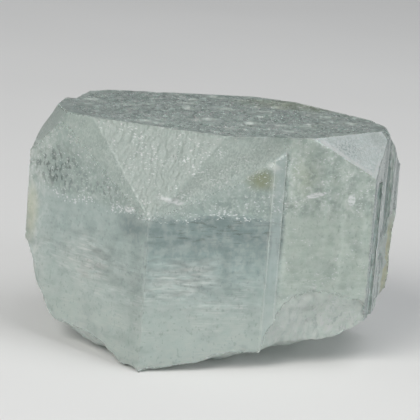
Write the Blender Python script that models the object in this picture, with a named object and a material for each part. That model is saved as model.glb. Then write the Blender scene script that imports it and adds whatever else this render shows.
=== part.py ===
"""Aquamarine crystal: a short, stout beryl prism, terminated on top and broken off below.

The crystal is one solid.  Its c-axis is vertical (+Z).  It is cleaved from a block by its
crystal faces: six prism faces, a broad pinacoid on top, and the bevels between them.  Growth
ledges, etch pits and chips are then cut out of it, and its base is an uneven natural break
with a low patch that it rests on.

Lengths are in millimetres here and are scaled to metres as each mesh is made.
An azimuth is the compass direction that a face looks in: 0 is -Y, 90 is +X.
A slope is the angle of a face to the horizontal: 90 is upright, 0 is level.
"""

import math
import random

import bmesh
import bpy
from mathutils import Matrix, Vector, noise

MM = 0.001

# ---- Driving dimensions (mm, degrees) ----------------------------------------------------

TOP = 17.98                  # level of the pinacoid
BASE = -0.45                 # level of the patch that the crystal rests on
BLOCK = 44.0                 # edge of the block that the faces are cleaved from
PRISM_TURN = 17.0            # azimuth of the broad front face; the prism faces are 60 apart

# Prism faces in turn from the left front one: steps of 60 from the broad front face,
# and how far each lies from the axis.
PRISM_FACES = {
    "left_front": (-1, 12.14),
    "front": (0, 10.94),
    "right": (1, 14.20),
    "right_back": (2, 12.10),
    "back": (3, 11.00),
    "left_back": (4, 13.40),
}

# Bevels round the pinacoid: azimuth, slope, and how far from the axis each one meets the top.
BEVELS = {
    "frosted_front": (-20.7, 65.0, 10.11),
    "left_front_chamfer": (-37.0, 80.3, 11.45),
    "left_corner": (-74.0, 60.0, 12.61),
    "left_shoulder": (-96.0, 57.8, 12.25),
    "right_corner": (46.1, 49.5, 11.67),
    "right_chamfer": (77.0, 50.0, 13.34),
    "right_back_corner": (110.0, 50.0, 12.05),
    "right_back_chamfer": (133.0, 50.0, 9.95),
    "back_corner": (157.0, 48.0, 9.54),
    "back_chamfer": (190.5, 50.0, 8.39),
    "left_back_corner": (213.7, 50.0, 10.65),
}

# Growth ledges on the prism faces: face, depth, and the planes round the sunk area, each as
# the direction that leads out of the area and a point on the plane.
LEDGES = {
    "front": ("front", 0.40, (
        ((0.14, 0.99, 0.0), (5.52, -9.75, 0.0)),
        ((-0.69, 0.86, 0.90), (0.0, -11.44, 14.3)),
    )),
    "right": ("right", 0.28, (
        ((0.20, 0.98, 0.0), (14.2, -0.9, 0.0)),
    )),
    "right_rib": ("right", 0.50, (
        ((0.30, 0.95, 0.0), (13.6, -4.1, 0.0)),
        ((0.0, -1.0, 0.0), (0.0, -5.6, 0.0)),
        ((0.0, 0.10, 0.99), (0.0, 0.0, 13.6)),
    )),
    "back_wide": ("back", 0.35, (
        ((-0.98, 0.20, 0.0), (-6.5, 9.0, 0.0)),
        ((0.96, 0.29, 0.0), (-1.0, 11.0, 0.0)),
        ((0.06, 0.0, 1.0), (0.0, 0.0, 6.0)),
    )),
    "back_narrow": ("back", 0.20, (
        ((-0.98, 0.20, 0.0), (0.5, 9.0, 0.0)),
        ((0.96, 0.29, 0.0), (2.2, 11.0, 0.0)),
        ((0.06, 0.0, 1.0), (0.0, 0.0, 13.0)),
    )),
    "right_back": ("right_back", 0.30, (
        ((0.62, -0.78, 0.0), (9.2, 8.0, 0.0)),
        ((-0.53, 0.85, 0.0), (5.6, 11.2, 0.0)),
    )),
}
# Ledges that aren't on a prism face: the planes round each one, as above.
OTHER_LEDGES = {
    "left_shoulder": (
        ((0.831, -0.162, -0.533), (-11.29, 2.19, TOP)),
        ((0.33, -0.94, 0.0), (-12.0, 1.3, 0.0)),
        ((0.0, 0.0, -1.0), (0.0, 0.0, 12.2)),
    ),
    "left_foot": (
        ((0.99, 0.12, 0.0), (-13.85, -3.0, 0.0)),
        ((0.91, 0.0, 0.42), (-14.5, 0.0, 7.0)),
    ),
}

PIT_COUNT = 34               # etch pits on the pinacoid
PIT_DEPTH = (0.07, 0.16)
PIT_RADIUS = (0.3, 0.8)
PIT_FIELD = ((-11.0, 11.5), (-8.5, 7.5))   # x and y that the pits are strewn over
PIT_LIMIT = (11.9, 14.25)    # where the diamond that holds the pits crosses x and y
PIT_GAP = 0.25               # least room between two pits
PIT_FLARE = (0.95, 1.4)      # radius at a pit's floor and well above its mouth, of its own radius
PROUD = 1.0                  # how far a cutter stands out of the face that it sinks into

GROOVE_COUNT = 16            # down-slope etch grooves on the frosted bevel
GROOVE_DEPTH = 0.10
GROOVE_LENGTH = (1.0, 2.6)
GROOVE_HALF_WIDTH = (0.16, 0.26)
GROOVE_SHARE = 0.6           # the most of the frosted height that one groove takes up
GROOVE_PLACE = (0.15, 0.85)  # where a groove lies in its own strip of the bevel
GROOVE_DROP = (0.15, 0.35)   # how far down the room left to it a groove starts
FROST_SPAN = (-6.0, 4.5)     # ends of the frosted bevel's top edge, from its middle
FROST_HEIGHT = 7.2           # length of the frosted bevel down its slope

# The broken base: its sheet, and unevenness as a scale and a strength.
FRACTURE_CELL = 0.85         # grid step of the sheet
BREAK_SHEET = (34.0, 30.0)   # length and width of the sheet
BREAK_SINK = 0.05            # how far the break is let down, which sets how wide the patch is
BREAK_FLOOR = -0.6           # the sheet goes no further than this below the patch
BREAK_SWELL = (3.4, 0.8)
BREAK_GRAIN = (1.3, 0.25)
RIPPLE_HEIGHT = 0.07         # shell ripples that spread from one corner
RIPPLE_RATE = 1.9            # radians per mm
RIPPLE_CENTRE = (16.0, -14.0)

# Slopes of the broken base: rise at the axis, rise per mm of x, rise per mm of y.
BREAK_SLOPES = {
    "front_right": (-1.21, 0.242, -0.172),
    "far_right": (-4.82, 0.59, -0.20),
    "left_front": (-3.19, -0.38, -0.10),
}
# Shell-shaped hollows in the base: x, y, depth, and how widely each spreads.
BREAK_SHELLS = {
    "back_right": (9.5, 12.5, 3.4, 13.3),
    "back_left": (-9.0, 10.5, 2.2, 10.0),
}
LEFT_FOOT = (-11.0, 1.2, 0.55)   # x where the foot starts to curl up, rise there, steepness
# Centre, radius and squash of each chip, at the crystal's edges and foot.
CHIPS = {
    "foot_right_front": ((13.3, -15.3, 1.6), 9.0, (1.25, 1.0, 0.80)),
    "foot_right": ((17.4, 0.8, 0.6), 4.4, (0.9, 1.6, 1.0)),
    "foot_front": ((3.4, -12.2, -0.2), 2.4, (1.5, 1.0, 0.8)),
    "foot_left_front": ((-10.6, -9.6, -0.2), 2.4, (1.4, 1.2, 0.8)),
    "foot_back": ((-2.0, 14.6, 0.2), 5.2, (1.3, 1.0, 0.75)),
    "left_back_edge": ((-13.6, 8.9, 5.2), 2.8, (1.0, 1.0, 1.8)),
    "right_back_edge": ((5.2, 14.3, 11.8), 2.8, (1.0, 1.0, 1.3)),
    "top_back_rim": ((-5.2, 9.1, 18.9), 1.8, (1.6, 1.0, 0.8)),
}
CHIP_SWELLS = ((2.3, 0.10), (6.0, 0.05))   # rate and strength of each unevenness
CHIP_SEED_STEP = 4.7

# The scar on the right prism face, where a neighbour broke away.
SCAR_PLACE = (2.9, 6.0)      # along the face from its middle, and height
SCAR_HALF_SIZE = (3.4, 5.2)
SCAR_CELLS = (9, 14)
SCAR_DEPTH = (0.10, 0.12)    # at the middle, and how much more at the rim
SCAR_LEAN = 0.07             # how much deeper it gets per mm down, towards the back of the face
SCAR_GRAIN = (1.6, 0.5)      # scale and strength
SCAR_LEAST = 0.02            # the scar is nowhere shallower than this
SCAR_LIP = 0.3               # how far the cutter's rim stands out of the face
SCAR_RIM = 0.98              # share of the half size where the rim starts

SEED = 11

AQUAMARINE = (0.52, 0.64, 0.62, 1.0)
AQUAMARINE_IOR = 1.577
AQUAMARINE_ROUGHNESS = 0.28
AQUAMARINE_CLEARNESS = 0.6   # share of the light that goes in rather than scatters back


# ---- Directions and planes ---------------------------------------------------------------

def facing(azimuth, slope=90.0):
    """Unit normal of a face from its azimuth and slope in degrees."""
    turn, lean = math.radians(azimuth), math.radians(slope)
    return Vector((math.sin(turn) * math.sin(lean), -math.cos(turn) * math.sin(lean), math.cos(lean)))


def block():
    """A cube about the axis, larger than the crystal."""
    bm = bmesh.new()
    bmesh.ops.create_cube(bm, size=BLOCK)
    return bm


def cleave(bm, normal, point):
    """Cut away everything beyond the plane through point, and close the cut."""
    whole = bm.verts[:] + bm.edges[:] + bm.faces[:]
    cut = bmesh.ops.bisect_plane(bm, geom=whole, plane_co=point, plane_no=normal, clear_outer=True)
    rim = [item for item in cut["geom_cut"] if isinstance(item, bmesh.types.BMEdge)]
    if rim:
        bmesh.ops.edgeloop_fill(bm, edges=rim)


# ---- Objects -----------------------------------------------------------------------------

def clear_scene():
    for thing in list(bpy.data.objects):
        bpy.data.objects.remove(thing, do_unlink=True)


def new_collection(name):
    group = bpy.data.collections.new(name)
    bpy.context.scene.collection.children.link(group)
    return group


def to_object(bm, name, group, frame):
    """Turn a bmesh in millimetres into an object in metres, in the crystal's own frame."""
    bmesh.ops.recalc_face_normals(bm, faces=bm.faces[:])
    if bm.calc_volume(signed=True) < 0.0:
        bmesh.ops.reverse_faces(bm, faces=bm.faces[:])
    bmesh.ops.scale(bm, vec=(MM, MM, MM), verts=bm.verts[:])
    mesh = bpy.data.meshes.new(name)
    bm.to_mesh(mesh)
    bm.free()
    thing = bpy.data.objects.new(name, mesh)
    group.objects.link(thing)
    thing.parent = frame
    return thing


def carve(crystal, cutter):
    """Cut the shape out of the crystal and mark it as a cutter."""
    cutter.hide_render = True
    cutter.display_type = "WIRE"
    cut = crystal.modifiers.new(cutter.name, "BOOLEAN")
    cut.operation = "DIFFERENCE"
    cut.solver = "EXACT"
    cut.object = cutter


# ---- The crystal's faces -----------------------------------------------------------------

def cleaved_crystal():
    """The ideal crystal: prism, pinacoid and bevels, with a level base."""
    bm = block()
    cleave(bm, Vector((0, 0, 1)), Vector((0, 0, TOP)))
    cleave(bm, Vector((0, 0, -1)), Vector((0, 0, BASE)))
    for step, distance in PRISM_FACES.values():
        outward = facing(PRISM_TURN + 60.0 * step)
        cleave(bm, outward, outward * distance)
    for azimuth, slope, reach in BEVELS.values():
        rim = facing(azimuth) * reach
        cleave(bm, facing(azimuth, slope), rim + Vector((0, 0, TOP)))
    return bm


# ---- Growth ledges -----------------------------------------------------------------------

def wedge(limits):
    """The convex space inside a set of planes, each an outward direction and a point."""
    bm = block()
    for direction, point in limits:
        cleave(bm, Vector(direction).normalized(), Vector(point))
    return bm


def face_ledge(face, depth, limits):
    """The space that a ledge takes out of a prism face, to the given depth."""
    step, distance = PRISM_FACES[face]
    outward = facing(PRISM_TURN + 60.0 * step)
    return wedge(((-outward, outward * (distance - depth)), *limits))


# ---- Etching -----------------------------------------------------------------------------

def etch_pits(rng):
    """Shallow six-sided pits, flat-bottomed, sunk into the pinacoid."""
    bm = bmesh.new()
    placed = []
    floor, mouth = PIT_FLARE
    while len(placed) < PIT_COUNT:
        radius = rng.uniform(*PIT_RADIUS)
        spot = Vector([rng.uniform(*span) for span in PIT_FIELD])
        if abs(spot.x) / PIT_LIMIT[0] + abs(spot.y) / PIT_LIMIT[1] > 1.0:
            continue
        if any((spot - other).length < radius + reach + PIT_GAP for other, reach in placed):
            continue
        placed.append((spot, radius))
        depth = rng.uniform(*PIT_DEPTH)
        place = Matrix.Translation((spot.x, spot.y, TOP + (PROUD - depth) / 2))
        turn = Matrix.Rotation(math.radians(PRISM_TURN + 30.0), 4, "Z")
        bmesh.ops.create_cone(
            bm, cap_ends=True, segments=6, radius1=radius * floor, radius2=radius * mouth,
            depth=PROUD + depth, matrix=place @ turn,
        )
    return bm


def etch_grooves(rng):
    """Long shallow grooves that run straight down the frosted bevel, a triangle point down."""
    azimuth, slope, reach = BEVELS["frosted_front"]
    outward = facing(azimuth, slope)
    along = facing(azimuth + 90.0)
    down = along.cross(outward)
    rim = facing(azimuth) * reach + Vector((0, 0, TOP))
    left, right = FROST_SPAN
    bm = bmesh.new()
    for index in range(GROOVE_COUNT):
        side = left + (right - left) * (index + rng.uniform(*GROOVE_PLACE)) / GROOVE_COUNT
        room = FROST_HEIGHT * (1.0 - side / (left if side < 0.0 else right))
        run = min(rng.uniform(*GROOVE_LENGTH), GROOVE_SHARE * room)
        drop = run / 2 + rng.uniform(*GROOVE_DROP) * (room - run)
        spot = rim + along * side + down * drop + outward * GROOVE_DEPTH
        frame = Matrix((along, -down, outward)).transposed().to_4x4()
        size = Matrix.Diagonal((rng.uniform(*GROOVE_HALF_WIDTH), run / 2, GROOVE_DEPTH * 2, 1.0))
        bmesh.ops.create_uvsphere(
            bm, u_segments=6, v_segments=4, radius=1.0, matrix=Matrix.Translation(spot) @ frame @ size
        )
    return bm


# ---- Broken surfaces ---------------------------------------------------------------------

def uneven(spot, scale, strength):
    """Smooth, repeatable unevenness at a point."""
    return strength * noise.noise(Vector(spot) / scale)


def base_rise(x, y):
    """How far the break rises above the resting patch at a place under the crystal."""
    slopes = [level + along_x * x + along_y * y for level, along_x, along_y in BREAK_SLOPES.values()]
    shells = [
        depth - ((x - mid_x) ** 2 + (y - mid_y) ** 2) / spread
        for mid_x, mid_y, depth, spread in BREAK_SHELLS.values()
    ]
    start, level, steepness = LEFT_FOOT
    foot = level + steepness * (start - x) ** 2 if x < start else 0.0
    rise = max(*slopes, *shells, foot) + uneven((x, y, 0.0), *BREAK_SWELL) - BREAK_SINK
    if rise <= 0.0:
        return rise
    ripple = RIPPLE_HEIGHT * math.sin(RIPPLE_RATE * math.dist((x, y), RIPPLE_CENTRE))
    return rise + min(1.0, rise) * (ripple + uneven((x, y, 7.0), *BREAK_GRAIN))


def base_break():
    """Everything below the broken base: a grid set to the break's height, closed underneath."""
    length, width = BREAK_SHEET
    columns, rows = int(length / FRACTURE_CELL), int(width / FRACTURE_CELL)
    bm = bmesh.new()
    bmesh.ops.create_grid(bm, x_segments=columns, y_segments=rows, size=1.0)
    for vert in bm.verts:
        vert.co.x *= length / 2
        vert.co.y *= width / 2
        vert.co.z = BASE + max(BREAK_FLOOR, base_rise(vert.co.x, vert.co.y))
    close_towards(bm, Vector((0, 0, -TOP)))
    return bm


def close_towards(bm, offset):
    """Make an open sheet a closed solid by drawing its copy out along offset."""
    drawn = bmesh.ops.extrude_face_region(bm, geom=bm.faces[:])
    moved = [item for item in drawn["geom"] if isinstance(item, bmesh.types.BMVert)]
    bmesh.ops.translate(bm, vec=offset, verts=moved)


def right_scar():
    """The rough scar on the right edge, where a neighbour broke away."""
    step, distance = PRISM_FACES["right"]
    right = facing(PRISM_TURN + 60.0 * step)
    along = Vector((-right.y, right.x, 0.0))
    centre = right * distance + along * SCAR_PLACE[0] + Vector((0, 0, SCAR_PLACE[1]))
    frame = Matrix((along, Vector((0, 0, 1)), right)).transposed().to_4x4()
    middle, more = SCAR_DEPTH
    bm = bmesh.new()
    bmesh.ops.create_grid(bm, x_segments=SCAR_CELLS[0], y_segments=SCAR_CELLS[1], size=1.0)
    for vert in bm.verts:
        across, height = vert.co.x * SCAR_HALF_SIZE[0], vert.co.y * SCAR_HALF_SIZE[1]
        rim = max(abs(vert.co.x), abs(vert.co.y))
        lean = SCAR_LEAN * (SCAR_HALF_SIZE[1] - height) * (vert.co.x + 1.0) / 2
        depth = middle + more * rim + lean + uneven((across, height, 3.0), *SCAR_GRAIN)
        vert.co = Vector((across, height, -max(SCAR_LEAST, depth) if rim < SCAR_RIM else SCAR_LIP))
    close_towards(bm, Vector((0, 0, 4 * PROUD)))
    bm.transform(Matrix.Translation(centre) @ frame)
    return bm


def chip(centre, radius, squash, seed):
    """A shell-shaped chip: a squashed ball with an uneven skin."""
    bm = bmesh.new()
    bmesh.ops.create_icosphere(bm, subdivisions=3, radius=1.0)
    shift = Vector((seed, -seed, 0.0))
    for vert in bm.verts:
        way = vert.co.normalized()
        swell = 1.0 + sum(force * noise.noise(way * rate + shift) for rate, force in CHIP_SWELLS)
        vert.co = Vector(centre) + Matrix.Diagonal(squash) @ way * radius * swell
    return bm


# ---- Finish and standing -----------------------------------------------------------------

def aquamarine_material():
    finish = bpy.data.materials.new("aquamarine")
    finish.use_nodes = True
    shader = finish.node_tree.nodes["Principled BSDF"]
    shader.inputs["Base Color"].default_value = AQUAMARINE
    shader.inputs["Roughness"].default_value = AQUAMARINE_ROUGHNESS
    shader.inputs["Metallic"].default_value = 0.0
    shader.inputs["IOR"].default_value = AQUAMARINE_IOR
    shader.inputs["Transmission Weight"].default_value = AQUAMARINE_CLEARNESS
    return finish


def stand_on_origin(crystal, frame):
    """Move the frame so that the finished crystal stands on z = 0, centred on the origin."""
    bpy.context.view_layer.update()
    shape = crystal.evaluated_get(bpy.context.evaluated_depsgraph_get())
    corners = [shape.matrix_world @ Vector(corner) for corner in shape.bound_box]
    low = [min(corner[axis] for corner in corners) for axis in range(3)]
    high = [max(corner[axis] for corner in corners) for axis in range(3)]
    frame.location = (-(low[0] + high[0]) / 2, -(low[1] + high[1]) / 2, -low[2])
    bpy.context.view_layer.update()


def build():
    clear_scene()
    rng = random.Random(SEED)
    parts = new_collection("aquamarine_crystal_parts")
    tools = new_collection("cutters")
    frame = bpy.data.objects.new("crystal_frame", None)
    parts.objects.link(frame)

    crystal = to_object(cleaved_crystal(), "aquamarine_crystal", parts, frame)
    crystal.data.materials.append(aquamarine_material())

    cutters = {"base_break": base_break(), "right_scar": right_scar()}
    cutters |= {f"ledge_{name}": face_ledge(*ledge) for name, ledge in LEDGES.items()}
    cutters |= {f"ledge_{name}": wedge(limits) for name, limits in OTHER_LEDGES.items()}
    for index, (name, size) in enumerate(CHIPS.items()):
        cutters[f"chip_{name}"] = chip(*size, CHIP_SEED_STEP * index)
    cutters["etch_pits"] = etch_pits(rng)
    cutters["etch_grooves"] = etch_grooves(rng)
    for name, shape in cutters.items():
        carve(crystal, to_object(shape, f"cut_{name}", tools, frame))
    stand_on_origin(crystal, frame)


build()
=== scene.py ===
import math
import random

import bmesh
import bpy
import numpy as np
from mathutils import Euler, Matrix, Vector, noise
from mathutils.bvhtree import BVHTree


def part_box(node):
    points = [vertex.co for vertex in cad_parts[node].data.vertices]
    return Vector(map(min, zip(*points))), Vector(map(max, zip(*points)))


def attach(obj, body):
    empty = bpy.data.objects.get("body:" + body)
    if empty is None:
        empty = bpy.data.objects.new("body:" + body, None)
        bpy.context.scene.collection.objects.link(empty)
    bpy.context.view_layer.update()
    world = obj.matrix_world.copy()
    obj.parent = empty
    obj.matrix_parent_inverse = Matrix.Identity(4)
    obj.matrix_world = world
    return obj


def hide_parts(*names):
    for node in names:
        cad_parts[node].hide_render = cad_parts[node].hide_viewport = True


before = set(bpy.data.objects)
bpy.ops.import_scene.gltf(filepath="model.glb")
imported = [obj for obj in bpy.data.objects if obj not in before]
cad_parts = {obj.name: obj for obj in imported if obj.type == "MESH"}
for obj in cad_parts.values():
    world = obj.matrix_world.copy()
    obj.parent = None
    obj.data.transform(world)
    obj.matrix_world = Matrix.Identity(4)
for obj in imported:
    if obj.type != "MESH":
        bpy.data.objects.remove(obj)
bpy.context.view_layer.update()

mm = 0.001
middle = Vector((-0.333, -0.174, 10.35))      # the point that the camera looks at, mm
print("frame loaded")


# small helpers for meshes

def facing(azimuth, slope=90.0):
    turn, lean = math.radians(azimuth), math.radians(slope)
    return Vector((math.sin(turn) * math.sin(lean), -math.cos(turn) * math.sin(lean), math.cos(lean)))


def smooth(low, high, value):
    share = min(1.0, max(0.0, (value - low) / (high - low)))
    return share * share * (3.0 - 2.0 * share)


def terraces(value, sharpness=0.3):      # a stair of flat treads with short risers
    tread = math.floor(value)
    return tread + smooth(0.5 - sharpness / 2, 0.5 + sharpness / 2, value - tread)


def wave(spot, x, y, z, seed=0.0):       # noise with its own grain size along each axis, mm
    return noise.noise(Vector((spot.x / x + seed, spot.y / y - seed, spot.z / z)))


def showMesh(name, mesh):
    thing = bpy.data.objects.new(name, mesh)
    bpy.context.scene.collection.objects.link(thing)
    return thing


# the crystal's skin: the CAD faces, cut fine and given their growth and etch relief

# each flat face: azimuth, slope, and the size of its cells in mm
crystalFaces = {
    "pinacoid": (0.0, 0.0, 0.22),
    "leftFront": (-43.0, 90.0, 0.30),
    "front": (17.0, 90.0, 0.30),
    "right": (77.0, 90.0, 0.22),
    "rightBack": (137.0, 90.0, 0.34),
    "back": (197.0, 90.0, 0.34),
    "leftBack": (257.0, 90.0, 0.34),
    "frostedFront": (-20.7, 65.0, 0.15),
    "leftFrontChamfer": (-37.0, 80.3, 0.18),
    "leftCorner": (-74.0, 60.0, 0.18),
    "leftShoulder": (-96.0, 57.8, 0.20),
    "rightCorner": (46.1, 49.5, 0.14),
    "rightChamfer": (77.0, 50.0, 0.18),
    "rightBackCorner": (110.0, 50.0, 0.24),
    "rightBackChamfer": (133.0, 50.0, 0.24),
    "backCorner": (157.0, 48.0, 0.24),
    "backChamfer": (190.5, 50.0, 0.24),
    "leftBackCorner": (213.7, 50.0, 0.24),
    "ledgeRiser": (-8.05, 90.0, 0.18),
    "ledgeSlope": (38.7, 129.2, 0.16),
}
prismFaces = {"leftFront", "front", "right", "rightBack", "back", "leftBack", "ledgeRiser"}
# how strongly each face is frosted
frost = {
    "frostedFront": 1.0, "leftFrontChamfer": 0.62, "leftCorner": 0.6, "leftShoulder": 0.6, "rightCorner": 1.0,
    "rightChamfer": 0.5, "rightBackCorner": 0.7, "rightBackChamfer": 0.8, "backCorner": 0.8,
    "backChamfer": 0.9, "leftBackCorner": 0.8, "ledgeSlope": 1.0,
}
skin = {
    "flatWithin": 1.2,         # degrees between a face and the crystal face it belongs to
    "smallestFlat": 0.6,       # mm2: anything smaller is taken as broken or pitted
    "brokenCell": 0.36,        # mm
    "creaseCell": 0.26,
    "creaseAngle": 15.0,       # degrees
    "creaseWidth": 0.055,      # mm that each crisp crease is cut back on either side
    "creaseWear": 0.012,       # mm taken off it besides
    "creaseNicks": 0.12,       # mm more at its nicks
    "softRings": 6,            # rings of cells that a soft crease is rounded over
    "softTurns": 22,
    "terraceStep": 0.060,      # mm, etched pinacoid
    "terraceGrain": 1.35,
    "streakDepth": 0.060,      # mm, down-slope streaks of the frosted faces
    "streakWidth": 0.17,
    "streakLength": 0.46,
    "ledgeDepth": 0.11,        # mm, upright growth ledges
    "prismSwell": 0.020,
    "brokenDepth": 0.34,
    "chipSize": (1.7, 0.55),   # mm, the larger and smaller shells of a break
    "sharpAngle": 26.0,
    "floorBelow": 10.8,        # mm from the axis: the front face lies further out than its ledge's floor
    "ledgeEdge": 5.3,          # x where the ledge ends
    "ledgeLine": (14.3, 0.478),    # height of the ledge at x = 0, and its rise along x
    "ledgeFade": 2.6,          # mm above the line over which the frosted face runs down to the floor
    "pitDepth": 0.22,          # mm: small facets sunk less than this belong to the etched face round them
    "highlightBandWithin": (12.6, 18.1),    # x and height up to which the right corner's bevel has a painted highlight along its lower edge
}
# over how many rings of cells each mask runs out; the others over one
maskRings = {"frosted": 34, "shadedFrontBevel": 20, "broken": 6, "wear": 0, "rim": 0, "riser": 0, "paintedHighlightBand": 12}
kindNames = ["broken", "crease"] + list(crystalFaces)
kindNormals = [None, None] + [facing(azimuth, slope) for azimuth, slope, _ in crystalFaces.values()]
kindCells = [skin["brokenCell"], skin["creaseCell"]] + [cell for _, _, cell in crystalFaces.values()]


def kindOf(face):
    if face.calc_area() > skin["smallestFlat"] * mm * mm:
        for kind, normal in enumerate(kindNormals):
            if normal and face.normal.dot(normal) > math.cos(math.radians(skin["flatWithin"])):
                return kind
    return 0


def claimPits(bm, layer):
    # small facets sunk into an etched face belong to that face
    for name in ("pinacoid", "frostedFront"):
        kind = kindNames.index(name)
        normal = kindNormals[kind]
        level = max(normal.dot(face.calc_center_median()) for face in bm.faces if face[layer] == kind)
        for face in bm.faces:
            sunk = level - normal.dot(face.calc_center_median())
            if face[layer] == 0 and 0.0 <= sunk < skin["pitDepth"] * mm and face.normal.dot(normal) > 0.3:
                face[layer] = kind


def crisp(kinds):
    # a crease that stays sharp: between prism faces, round the pinacoid, or round the right corner bevel
    names = {kindNames[kind] for kind in kinds}
    return len(names) == 2 and (names <= prismFaces or bool(names & {"pinacoid", "rightCorner"}))


def cutBackCreases(bm, layer):
    # a narrow worn strip along each crisp crease
    creases = [
        edge for edge in bm.edges
        if all(face[layer] for face in edge.link_faces) and edge.calc_length() > 0.5 * mm
        and edge.calc_face_angle(0.0) > math.radians(skin["creaseAngle"])
        and crisp([face[layer] for face in edge.link_faces])]
    made = bmesh.ops.bevel(
        bm, geom=creases, offset=skin["creaseWidth"] * mm, offset_type="OFFSET", segments=1,
        profile=0.5, affect="EDGES", clamp_overlap=False)
    for face in made["faces"]:
        face[layer] = 1


def repacked(bm):
    # room that an operator leaves free in memory would decide the order of what is made next, and with it
    # the shape, so each step starts from a compact copy and every run comes out the same
    fresh = bm.copy()
    bm.free()
    return fresh, fresh.faces.layers.int["kind"]


def relax(bm, chosen, turns):
    verts = [vert for vert in bm.verts if vert in chosen]    # in the mesh's own order, the same every run
    for turn in range(turns):
        bmesh.ops.smooth_vert(bm, verts=verts, factor=0.5, use_axis_x=True, use_axis_y=True, use_axis_z=True)


def dropStrays(bm):
    # turning edges can leave two faces back to back, or one hung across a closed pair: neither bounds the crystal
    for turn in range(6):
        bm.verts.index_update()
        alike = {}
        for face in bm.faces:
            alike.setdefault(tuple(sorted(vert.index for vert in face.verts)), []).append(face)
        strays = [face for faces in alike.values() if len(faces) > 1 for face in faces]
        strays = strays or [face for face in bm.faces if any(len(edge.link_faces) == 1 for edge in face.edges)]
        if not strays:
            break
        bmesh.ops.delete(bm, geom=strays, context="FACES")


def refine(bm, layer):
    # halves long edges until every face has cells of its own size, and evens the cells out
    for step in range(12):
        bmesh.ops.triangulate(bm, faces=bm.faces[:], quad_method="SHORT_EDGE", ngon_method="BEAUTY")
        bm, layer = repacked(bm)
        long = [
            edge for edge in bm.edges
            if edge.calc_length() > 1.35 * mm * min(kindCells[face[layer]] for face in edge.link_faces)]
        if not long:
            break
        bmesh.ops.subdivide_edges(bm, edges=long, cuts=1)
        bm, layer = repacked(bm)
    bmesh.ops.dissolve_degenerate(bm, dist=0.012 * mm, edges=bm.edges[:])
    bm, layer = repacked(bm)
    bmesh.ops.triangulate(bm, faces=bm.faces[:], quad_method="SHORT_EDGE", ngon_method="BEAUTY")
    bm, layer = repacked(bm)
    inside = {
        vert for vert in bm.verts
        if len({face[layer] for face in vert.link_faces}) == 1 and vert.link_faces[0][layer] > 1}
    for turn in range(3):
        edges = [edge for edge in bm.edges if any(vert in inside for vert in edge.verts)]
        faces = [face for face in bm.faces if any(vert in inside for vert in face.verts)]
        bmesh.ops.beautify_fill(bm, faces=faces, edges=edges, method="ANGLE")
        relax(bm, inside, 1)
    dropStrays(bm)
    return repacked(bm)


def roundSoftCreases(bm, layer):
    # creases between frosted faces are rounded, and so are the facets of broken areas
    bm.normal_update()
    limit = math.radians(8.0)
    soft = set()
    for edge in bm.edges:
        kinds = {face[layer] for face in edge.link_faces}
        names = {kindNames[kind] for kind in kinds}
        rimOfBreak = "broken" in names and bool(names & {"front", "leftFront", "ledgeRiser"})
        if len(kinds) == 2 and 1 not in kinds and edge.calc_face_angle(0.0) > limit:
            if rimOfBreak or (0 not in kinds and not crisp(kinds)):
                soft.update(edge.verts)
    for ring in range(skin["softRings"]):
        soft |= {edge.other_vert(vert) for vert in list(soft) for edge in vert.link_edges}
    soft = {vert for vert in soft if not any(face[layer] == 1 for face in vert.link_faces)}
    relax(bm, soft, skin["softTurns"])
    rough = {
        vert for vert in bm.verts
        if all(face[layer] == 0 for face in vert.link_faces)
        and all(edge.calc_face_angle(0.0) < math.radians(35.0) for edge in vert.link_edges)}
    relax(bm, rough, 4)


def cutSkin():
    bm = bmesh.new()
    bm.from_mesh(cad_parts["aquamarine_crystal"].data)
    bmesh.ops.remove_doubles(bm, verts=bm.verts[:], dist=1e-7)
    bmesh.ops.dissolve_limit(
        bm, angle_limit=math.radians(0.4), verts=bm.verts[:], edges=bm.edges[:])
    bm.normal_update()
    layer = bm.faces.layers.int.new("kind")
    for face in bm.faces:
        face[layer] = kindOf(face)
    claimPits(bm, layer)
    cutBackCreases(bm, layer)
    bm, layer = refine(*repacked(bm))
    roundSoftCreases(bm, layer)
    bm.normal_update()
    return bm, layer


def terracedTop(spot):
    rise = 2.8 * (0.5 + wave(spot, *[skin["terraceGrain"]] * 3)) + 1.3 * wave(spot, 0.36, 0.36, 0.36, 5.0)
    return skin["terraceStep"] * (2.6 - min(2.6, max(-1.0, terraces(rise))))


def streakedSlope(spot, normal, share):
    across = Vector((0, 0, 1)).cross(normal).normalized()
    down = across.cross(normal)
    place = Vector((across.dot(spot), down.dot(spot), 0.0))
    streak = wave(place, skin["streakWidth"], skin["streakLength"], 1.0, 3.0)
    fine = wave(place, 0.10, 0.22, 1.0, 7.0)
    lump = wave(place, 0.8, 1.0, 1.0, 9.0)
    return share * share * skin["streakDepth"] * max(0.0, 0.9 + 0.8 * streak + 0.5 * fine + 0.5 * lump)


def ledgedUpright(spot, normal, depth):
    along = Vector((0, 0, 1)).cross(normal).normalized().dot(spot)
    shift = 0.35 * noise.noise(Vector((along / 2.0, spot.z / 7.0, 1.0)))
    rise = 2.4 * (0.5 + noise.noise(Vector((along / 1.1 + shift, spot.z / 16.0, 4.0))))
    rise += 0.8 * noise.noise(Vector((along / 0.3, spot.z / 9.0, 2.0)))
    return depth * (1.0 - 0.42 * terraces(rise, 0.35))


def shells(spot, size):
    # shallow cups with sharp ridges between them, 0 on a ridge and 1 deep in a cup
    return max(0.0, 1.0 - 1.35 * noise.voronoi(spot / size)[0][0])


def brokenFace(spot):
    large, small = skin["chipSize"]
    bent = spot + Vector((wave(spot, 1.5, 1.5, 1.5), wave(spot, 1.5, 1.5, 1.5, 5.0), 0.0)) * 1.2
    grain = abs(wave(spot, 0.3, 0.3, 0.3, 6.0))
    return skin["brokenDepth"] * (0.75 * shells(bent, large) + 0.30 * shells(bent, small) + 0.35 * grain)


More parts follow.
